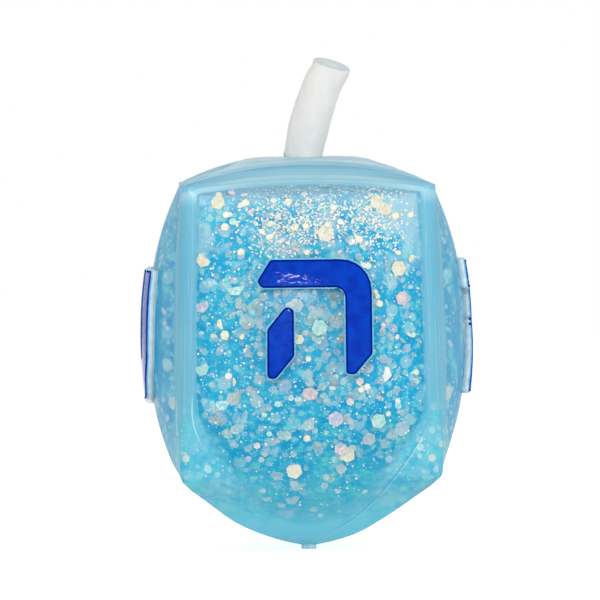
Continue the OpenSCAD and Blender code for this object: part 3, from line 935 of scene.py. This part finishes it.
def shin_outlines(x=20.6 / 2, y=24.4 / 2, w=STROKE - 0.7):
    corners = [
        (-x, y, 0.7),
        (-x + w, y, 0.7),
        (-x + w + 0.9, -y + w + 2.6, 1.0),
        (-w / 2 - 0.4, -y + w + 4.4, 1.0),
        (-w / 2 - 0.6, y, 0.7),
        (w / 2 + 0.2, y, 0.7),
        (w / 2 - 0.2, -y + w + 3.0, 1.2),
        (x - w - 1.4, -y + w + 5.4, 1.2),
        (x - w, y, 0.7),
        (x, y, 0.7),
        (x - 0.4, -y + 8.6, 4.5),
        (x - 4.6, -y + 1.6, 3.5),
        (-x + 1.6, -y, 0.9),
    ]
    return [rounded(corners)]


def nun_outlines(x=12.6 / 2, y=22.6 / 2, w=STROKE):
    corners = [
        (-x + 3.0, y, 0.6),
        (x, y, w - 0.6),
        (x, -y, w - 0.6),
        (-x + 0.4, -y, 0.7),
        (-x, -y + w - 0.4, 0.8),
        (x - w, -y + w, 1.2),
        (x - w, y - w, 1.2),
        (-x + 2.0, y - w, 0.8),
    ]
    return [rounded(corners)]


# Each letter's outlines, its sideways place, the height of its middle, and its face
LETTERS = {
    "he": (he_outlines, 0.65, 42.4, 0),
    "gimel": (gimel_outlines, 0.0, 40.0, 1),
    "nun": (nun_outlines, 0.0, 40.0, 2),
    "shin": (shin_outlines, 0.0, 38.4, 3),
}


def edge_line(bm, outlines, shift, height, width=0.3):
    """The darker line along the edge of a letter's paint, a little prouder than its face."""
    edge = bm.verts.layers.float["edge"]
    for outline in outlines:
        points = []
        for p, q in zip(outline, outline[1:] + outline[:1]):
            steps = math.ceil((q - p).length)
            points += [p + (q - p) * j / steps for j in range(steps)]
        n = len(points)
        area = sum(points[i - 1].x * points[i].y - points[i].x * points[i - 1].y for i in range(n))
        inward = 1.0 if area > 0 else -1.0
        rows = []
        for reach, level in ((0.0, RELIEF_H - 0.03), (width, RELIEF_H)):
            row = []
            for i in range(n):
                t = (points[(i + 1) % n] - points[i - 1]).normalized()
                p = points[i] + Vector((-t.y, t.x)) * inward * reach
                x, z = p.x + shift, p.y + height
                row.append(bm.verts.new((x, -(OUTSIDE.face_y(x, z) + level), z)))
                row[-1][edge] = 1.0
            rows.append(row)
        for i in range(n):
            j = (i + 1) % n
            bm.faces.new((rows[0][i], rows[0][j], rows[1][j], rows[1][i])).smooth = True


def letter_mesh(name, outlines, shift, height, face, low, high, grow, round_over, edged=False):
    """A letter wrapped over its face, from low to high above the skin, with a rounded rim."""
    bm = bmesh.new()
    bm.verts.layers.float.new("edge")
    for outline in outlines:
        loop = [bm.verts.new((p.x + shift, 0, p.y + height)) for p in outline]
        bm.faces.new(loop)
    grid = 1.1
    for axis, middle, reach in ((0, shift, 13), (2, height, 14)):
        for i in range(-int(reach / grid), int(reach / grid) + 1):
            no = Vector([float(k == axis) for k in range(3)])
            everything = bm.verts[:] + bm.edges[:] + bm.faces[:]
            co = no * (middle + i * grid)
            bmesh.ops.bisect_plane(bm, geom=everything, plane_co=co, plane_no=no)
    if grow:
        bm.normal_update()
        moved = {}
        for vert in [v for v in bm.verts if v.is_boundary]:
            push = Vector((0, 0, 0))
            for edge in vert.link_edges:
                if edge.is_boundary:
                    middle = edge.link_faces[0].calc_center_median()
                    line = (edge.verts[1].co - edge.verts[0].co).normalized()
                    side = edge.verts[0].co - middle
                    side -= line * side.dot(line)
                    push += side.normalized()
            moved[vert] = push.normalized() * grow
        for vert, push in moved.items():
            vert.co += push
    made = bmesh.ops.extrude_face_region(bm, geom=bm.faces[:])
    raised = {e for e in made["geom"] if isinstance(e, bmesh.types.BMVert)}
    for vert in bm.verts:
        level = high if vert in raised else low
        vert.co.y = -(OUTSIDE.face_y(vert.co.x, vert.co.z) + level)
    bmesh.ops.recalc_face_normals(bm, faces=bm.faces[:])
    for face_ in bm.faces:
        face_.smooth = True
    rims = [
        e
        for e in bm.edges
        if all(v in raised for v in e.verts)
        and any(not all(v in raised for v in f.verts) for f in e.link_faces)
    ]
    soft = {"segments": 3, "profile": 0.5, "clamp_overlap": True}
    bmesh.ops.bevel(bm, geom=rims, offset=round_over, affect="EDGES", **soft)
    if edged:
        edge_line(bm, outlines, shift, height)
    bmesh.ops.transform(bm, matrix=QUARTERS[face].to_4x4(), verts=bm.verts[:])
    mesh = bpy.data.meshes.new(name)
    for vert in bm.verts:
        vert.co *= MM
    bm.to_mesh(mesh)
    bm.free()
    obj = link(name, mesh)
    back_turn = QUARTERS[face].inverted()
    points = [back_turn @ (vert.co / MM) for vert in mesh.vertices]
    point_values(obj, "rise", [-p.y - OUTSIDE.face_y(p.x, p.z) for p in points])
    return obj


def letters(clear, paint):
    """Each letter's clear wall and the layer of paint on it."""
    for name, (outlines, shift, height, face) in LETTERS.items():
        args = (outlines(), shift, height, face)
        wall = letter_mesh(f"{name}_wall", *args, -0.15, RELIEF_H - 0.25, RIM_W, 0.2)
        dress(wall, clear, "clear_rubber", f"relief_{name}")
        face_paint = letter_mesh(
            f"{name}_paint", *args, RELIEF_H - 0.6, RELIEF_H - 0.06, 0.0, 0.3, edged=True
        )
        dress(face_paint, paint, "blue_paint", f"paint_{name}")


# The stem, one rod of rubber with a soft bend at its foot
def stem_axis(t):
    """Point and direction on the stem's axis, t millimetres from its foot on the roof."""
    level = math.cos(STEM_NOD)
    direction = Vector(
        (level * math.sin(STEM_LEAN), -math.sin(STEM_NOD), level * math.cos(STEM_LEAN))
    )
    u = max(0.0, t / STEM_LENGTH)
    sway = -2.7 * (u - u * u) + 0.3 * math.exp(-(((u - 0.93) / 0.07) ** 2))
    return Vector(STEM_FOOT) + direction * t + Vector((sway, 0, 0)), direction


def stem(material):
    """The rod from its foot to its rounded end, which dips a little in the middle."""
    around, verts, rim = 48, [], []
    stations = [(-0.6, STEM_R), (0.3, STEM_R), (1.2, STEM_R * 0.985)]
    steps = 16
    for i in range(1, steps + 1):
        t = 1.2 + (STEM_LENGTH - 0.5 - 1.2) * i / steps
        wave = 0.012 * math.sin(0.55 * t) + 0.008 * math.sin(1.3 * t + 1.0)
        fuller = 0.06 * math.exp(-(((t - 7.0) / 3.6) ** 2))
        stations.append((t, STEM_R * (0.985 + wave + fuller)))
    end = STEM_LENGTH
    stations += [
        (end - 0.3, STEM_R - 0.08),
        (end - 0.1, STEM_R - 0.2),
        (end, STEM_R - 0.5),
        (end - 0.03, STEM_R - 0.9),
        (end - 0.14, 1.6),
        (end - 0.22, 0.9),
        (end - 0.25, 0.35),
    ]
    for t, r in stations:
        centre, direction = stem_axis(t)
        side = direction.cross(Vector((0, 1, 0))).normalized()
        up = direction.cross(side)
        for i in range(around):
            a = 2 * math.pi * i / around
            verts.append(centre + (side * math.cos(a) + up * math.sin(a)) * r)
            rim.append(blend01(end - 0.35, end - 0.15, t) * (0.75 + 0.25 * blend01(2.0, 2.7, r)))
    faces = []
    for j in range(len(stations) - 1):
        for i in range(around):
            a, b = j * around + i, j * around + (i + 1) % around
            faces.append((a, a + around, b + around, b))
    last = (len(stations) - 1) * around
    faces.append([last + i for i in range(around)])
    faces.append([around - 1 - i for i in range(around)])
    obj = new_object("stem_rubber", verts, faces)
    bm = bmesh.new()
    bm.from_mesh(obj.data)
    bmesh.ops.recalc_face_normals(bm, faces=bm.faces[:])
    bm.to_mesh(obj.data)
    bm.free()
    point_values(obj, "rim", rim)
    dress(obj, material, "milky_rubber", "stem", "stem_neck", body=None)
    start, _ = stem_axis(0.0)
    stop, _ = stem_axis(STEM_NECK)
    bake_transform(obj, "toy", "stem", start=tuple(start * MM), end=tuple(stop * MM))


def skin_pieces():
    """The rubber skin, the gel in it and the inner walls round the clear windows."""
    skin = pillow_mesh("skin_rubber", OUTSIDE, hole=True)
    dress(skin, skin_material(), "clear_rubber", "skin")
    gel = pillow_mesh("glitter_gel", DEEP, across=20, edge_rows=28)
    dress(gel, gel_material(), "tinted_gel", "gel_fill")
    dress(window_walls("window_walls"), wall_material(), "clear_rubber")


def glitter():
    """Large, medium and fine flakes, the brightest ones first, then clouds of dust at the top."""
    large = Flakes(5)
    for x, z, width, tint in BRIGHT_FLAKES:
        large.behind_face(0, x, z, 0.12, width, TINTS[tint], 0.8, 0.12)
    bright = {"cream": 4, "white": 2, "pink": 2, "mint": 3, "cyan": 4, "lilac": 1}
    large.scatter(40, 2.8, 0.15, (0.3, 0.7), bright, tilt=0.2, pale=0.92)
    large.build("large_glitter", film_material("cream_film"), "cream_glitter", "large_flakes")

    mixed = {"cream": 4, "white": 3, "ivory": 2, "pink": 2}
    mixed.update({"mint": 3, "cyan": 3, "lilac": 2, "dim": 2})
    medium = Flakes(6)
    medium.scatter(160, 1.8, 0.15, (0.2, 0.75), mixed, 0.1, tilt=0.25, pale=0.9)
    medium.scatter(430, 1.25, 0.2, (0.05, 0.7), mixed, 0.35, pale=0.76)
    sunny = {"cream": 5, "white": 3, "ivory": 2, "pink": 1}
    for k in range(4):
        for _ in range(34):
            x, z = medium.rng.uniform(-18.5, 18.5), medium.rng.triangular(46, 66.4, 64)
            medium.place_flake(k, x, z, 1.3, 0.15, (0.05, 0.2), sunny, 0.2, 0.0)
    medium.build("medium_glitter", film_material("pearl_film"), "pearl_glitter", "medium_flakes")

    specks = {"white": 7, "cream": 3, "pink": 2, "mint": 2, "cyan": 2, "lilac": 2}
    fine = Flakes(7)
    fine.scatter(1300, 0.36, 0.35, (0.02, 0.5), specks, 0.8, tilt=0.25, pale=0.4)
    for k in range(4):
        for _ in range(9):
            x, z = fine.rng.uniform(-17, 17), fine.rng.triangular(52, 67, 65)
            fine.cluster(130, k, x, z, 2.8, 0.4, 0.25, (0.02, 0.3), specks, 0.2, 0.0)
    fine.cluster(420, 0, -5.5, 62.5, 3.8, 0.36, 0.3, (0.02, 0.3), specks, 0.2, 0.1)
    fine.build("fine_glitter", film_material("mint_film"), "mint_glitter", "fine_flakes")


# Camera: a long lens, a little to the left and above, one pixel of 600 being 0.18 mm
PIXEL = 0.18
PHOTO_HALF = 300
TIP_PIXEL = (309.0, 548.4)
AZIMUTH = math.radians(-1.6)
ELEVATION = math.radians(2.0)
ROLL = math.radians(0.65)
DISTANCE = 1.3
SENSOR = 36.0


def direction_to(a, e):
    """Direction from the toy to a place at an azimuth and elevation, in radians."""
    return Vector((math.sin(a) * math.cos(e), -math.cos(a) * math.cos(e), math.sin(e)))


def camera():
    """Places the camera so that the tip falls on its pixel of the photograph."""
    back = direction_to(AZIMUTH, ELEVATION)
    right0 = Vector((math.cos(AZIMUTH), math.sin(AZIMUTH), 0))
    up0 = back.cross(right0)
    right = right0 * math.cos(ROLL) - up0 * math.sin(ROLL)
    up = up0 * math.cos(ROLL) + right0 * math.sin(ROLL)
    aside = (TIP_PIXEL[0] - PHOTO_HALF) * PIXEL * MM
    drop = (TIP_PIXEL[1] - PHOTO_HALF) * PIXEL * MM
    centre = -right * aside + up * drop
    data = bpy.data.cameras.new("camera")
    data.sensor_width = SENSOR
    data.lens = SENSOR * DISTANCE / (2 * PHOTO_HALF * PIXEL * MM)
    data.clip_start = 0.05
    data.clip_end = 10.0
    obj = link("camera", data)
    place = Matrix((right, up, back)).transposed().to_4x4()
    place.translation = centre + back * DISTANCE
    obj.matrix_world = place
    bpy.context.scene.camera = obj


def area_light(name, azimuth, elevation, distance, size, power):
    """A softbox that looks at the middle of the toy, placed by angles as the camera is."""
    data = bpy.data.lights.new(name, "AREA")
    data.shape = "RECTANGLE"
    data.size, data.size_y = size
    data.energy = power
    obj = link(name, data)
    back = direction_to(math.radians(azimuth), math.radians(elevation))
    obj.matrix_world = back.to_track_quat("Z", "Y").to_matrix().to_4x4()
    obj.matrix_world.translation = Vector((0, 0, 0.044)) + back * distance


def surroundings():
    """A white world and floor, and three softboxes."""
    world = bpy.data.worlds.new("studio")
    bpy.context.scene.world = world
    world.use_nodes = True
    s = Shading.__new__(Shading)
    s.tree = world.node_tree
    s.tree.nodes.clear()
    strength = s.span(s.seen_rays(), 0.0, 1.0, 0.69, 1.0, smooth=False)
    background = s.add("Background", {"Color": WHITE, "Strength": strength})
    s.add("OutputWorld", {"Surface": background.outputs[0]})

    floor = new_object(
        "floor", [(-900, -1200, 0), (900, -1200, 0), (900, 900, 0), (-900, 900, 0)], [(0, 1, 2, 3)]
    )
    s = Shading("white_floor")
    grain = s.noise(s.place(), 0.05)
    tone = s.mix(s.span(grain, 0.3, 0.7), (0.86, 0.87, 0.88), (0.9, 0.9, 0.9))
    paper = s.add("BsdfDiffuse", {"Color": tone}).outputs[0]
    lift = s.times(s.seen_rays(), 0.6)
    white = s.add("Emission", {"Color": WHITE, "Strength": lift}).outputs[0]
    both = s.add("AddShader", {0: paper, 1: white}).outputs[0]
    floor.data.materials.append(s.finish(both))

    area_light("key", 48, 36, distance=0.9, size=(0.5, 0.5), power=1.1)
    area_light("low", -4, 4, distance=0.9, size=(0.6, 0.08), power=0.45)
    area_light("strip", -4, 11.6, distance=0.8, size=(0.15, 0.009), power=1.75)


bpy.context.scene.view_settings.view_transform = "Standard"
skin_pieces()
glitter()
letters(relief_material(), paint_material())
stem(milky_material())
for node in ("fill_plug", "spin_tip"):
    nodes[node].data.materials.clear()
    nodes[node].data.materials.append(plug_material(f"clear_rubber_{node}"))
camera()
surroundings()
